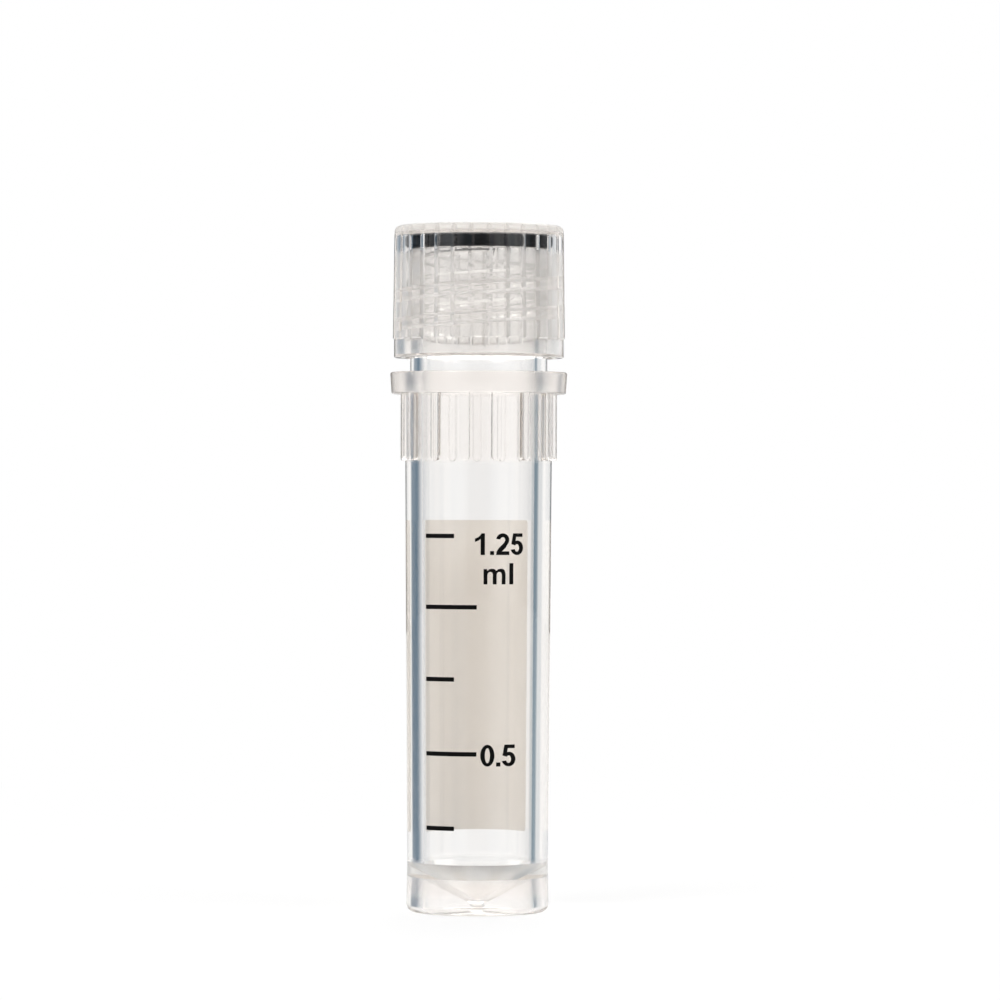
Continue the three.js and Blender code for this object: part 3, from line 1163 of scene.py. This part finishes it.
class VIAL_OT_stage(bpy.types.Operator):
    """Lays the pale floor, lights the room and sets up the camera"""

    bl_idname = "vial.stage"
    bl_label = "Stage"

    def floor(self, size, tint):
        """A round pale card that keeps the vial's shadow."""
        deselect()
        bpy.ops.mesh.primitive_circle_add(
            vertices=96, radius=size.floor_radius, fill_type="NGON"
        )
        floor = just_added("floor")
        bench = new_material("floor_card")
        place = bench.node("ShaderNodeTexCoord", output="Object")
        away = bench.node("ShaderNodeVectorMath", {"operation": "LENGTH"}, [place], output="Value")
        fibre = bench.noise(60, 4.0)
        card = bench.node(
            "ShaderNodeBsdfPrincipled",
            None,
            {
                "Base Color": bench.mix(fibre, rgba(tint), rgba(tint, 0.985)),
                "Roughness": 0.7,
                "Normal": bench.bump(fibre, 0.05 * MM, 0.2),
            },
        )
        white = bench.node("ShaderNodeEmission", None, {"Color": WHITE, "Strength": 1.0})
        seen = bench.node("ShaderNodeLightPath", output="Is Camera Ray")
        near, far = FLOOR_WHITE
        bright = seen * (near + far * away.ramp(*OUT_OF_SHADE))
        floor.data.materials.append(bench.finish(bench.blend(bright, card, white)))
        floor.visible_transmission = False

    def room(self, size, board, far_board):
        """A white room, in which clear and shiny things also see darker boards.

        Tall boards stand between the walls' middles. Low ones stand at the two sides.
        """
        world = bpy.data.worlds.new("room")
        bpy.context.scene.world = world
        bench = Bench(world)
        x, y, z = axes(bench, "Generated")
        # Degrees from the nearest wall's middle: 0 at a wall, 45 at a corner.
        quarter = (x.math("ARCTAN2", y) * (4 / FULL_TURN) + 4.5).math("FLOORED_MODULO", 1.0)
        from_wall = (quarter - 0.5).math("ABSOLUTE") * 90
        tall_board = bench.mix(x > 0, rgba(board), rgba(far_board))
        # Degrees from straight behind or in front: 90 at the sides.
        aside = (x / y).math("ABSOLUTE").math("ARCTANGENT") * (360 / FULL_TURN)
        tall = boards(aside, LEFT_BOARDS) * (x < 0) + boards(aside, RIGHT_BOARDS) * (x > 0)
        # Only what turned back inside a wall shows the boards in full.
        turned = bench.node("ShaderNodeLightPath", output="Glossy Depth") > 0.5
        faint = boards(aside, FAINT_BOARDS)
        across = bench.mix(turned * tall + (1 - turned) * faint, WHITE, tall_board)
        sideways = x.math("ABSOLUTE") > y.math("ABSOLUTE")
        below = bench.mix(sideways * from_wall.strip(*LOW_BOARDS), WHITE, rgba(board))
        seen = bench.mix(z.ramp(*TALL_FOOT), below, across)
        seen = bench.mix(z.ramp(*TALL_TOP), seen, WHITE)
        gloss = bench.node("ShaderNodeLightPath", output="Is Glossy Ray")
        through = bench.node("ShaderNodeLightPath", output="Is Transmission Ray")
        camera = bench.node("ShaderNodeLightPath", output="Is Camera Ray")
        # Gloss shows the walls dark and the corners, where the lamps stand, bright. What
        # comes back out of the plastic shows only the front and right walls dark.
        seen = bench.mix(through, WHITE, seen)
        walls = (1 - z.math("ABSOLUTE").ramp(*WALL_TOP)) * (1 - from_wall.ramp(*WALL_SIDE))
        darkened = walls * (1 - through * (1 - DARK_THROUGH * ((x - y) > 0)))
        seen = bench.mix(darkened, seen, rgba(WALL_DARK))
        light = bench.node(
            "ShaderNodeBackground", None, {"Color": WHITE, "Strength": size.world_light}
        )
        shown = bench.node(
            "ShaderNodeBackground", None, {"Color": bench.mix(camera, seen, WHITE)}
        )
        shows = camera.math("MAXIMUM", gloss.math("MAXIMUM", through))
        bench.finish(bench.blend(shows, light, shown), "ShaderNodeOutputWorld")

    def lamp(self, name, place, width, power):
        """A round soft lamp that points at the vial."""
        deselect()
        bpy.ops.object.light_add(type="AREA", location=place)
        lamp = bpy.context.object
        lamp.name = name
        lamp.data.shape, lamp.data.size, lamp.data.energy = "DISK", width, power
        away = Vector(place) - Vector(LAMP_AIM)
        lamp.rotation_euler = away.to_track_quat("Z", "Y").to_euler()

    def camera(self, size):
        """A long lens in front of the vial, a little above its middle."""
        deselect()
        bpy.ops.object.camera_add(
            location=(size.camera_side, -size.camera_distance, size.camera_height),
            rotation=(math.pi / 2, size.camera_roll, 0),
        )
        camera = bpy.context.object
        camera.data.lens, camera.data.sensor_width = size.lens, 36.0
        camera.data.clip_start, camera.data.clip_end = 0.01, 10.0
        bpy.context.scene.camera = camera

    def execute(self, context):
        scene = context.scene
        size, colours = scene.vial_stage, scene.vial_colours
        self.camera(size)
        self.floor(size, colours.floor)
        self.room(size, colours.board, colours.far_board)
        for row in LAMPS:
            self.lamp(*row)
        scene.view_settings.view_transform = "Standard"
        scene.cycles.glossy_bounces = 12  # light turns many corners inside clear plastic
        return {"FINISHED"}


# ---- Add-on ----

GROUPS = {
    "vial_tube": TubeSizes,
    "vial_thread": ThreadSizes,
    "vial_cap": CapSizes,
    "vial_ring": RingSizes,
    "vial_prints": PrintSizes,
    "vial_colours": Colours,
    "vial_stage": StageSizes,
}
STEPS = [VIAL_OT_stage, VIAL_OT_tube, VIAL_OT_cap, VIAL_OT_ring, VIAL_OT_patch, VIAL_OT_marks]


class VIAL_PT_panel(bpy.types.Panel):
    """Lists the vial's sizes, its colours and the steps that make it"""

    bl_idname = "VIAL_PT_panel"
    bl_label = "Cryovial"
    bl_space_type = "VIEW_3D"
    bl_region_type = "UI"
    bl_category = "Cryovial"

    def draw(self, context):
        for name, group in GROUPS.items():
            box = self.layout.box()
            box.label(text=name.replace("vial_", "").capitalize())
            for key in group.__annotations__:
                box.prop(getattr(context.scene, name), key)
        for step in STEPS:
            self.layout.operator(step.bl_idname)


def register():
    for item in [*GROUPS.values(), *STEPS, VIAL_PT_panel]:
        bpy.utils.register_class(item)
    for name, group in GROUPS.items():
        setattr(bpy.types.Scene, name, PointerProperty(type=group))


def unregister():
    for name in GROUPS:
        delattr(bpy.types.Scene, name)
    for item in reversed([*GROUPS.values(), *STEPS, VIAL_PT_panel]):
        bpy.utils.unregister_class(item)


def main():
    """Registers the add-on and makes the vial, step by step."""
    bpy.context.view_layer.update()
    register()
    for step in STEPS:
        getattr(bpy.ops.vial, step.bl_idname.split(".")[1])()


if __name__ == "__main__":
    main()
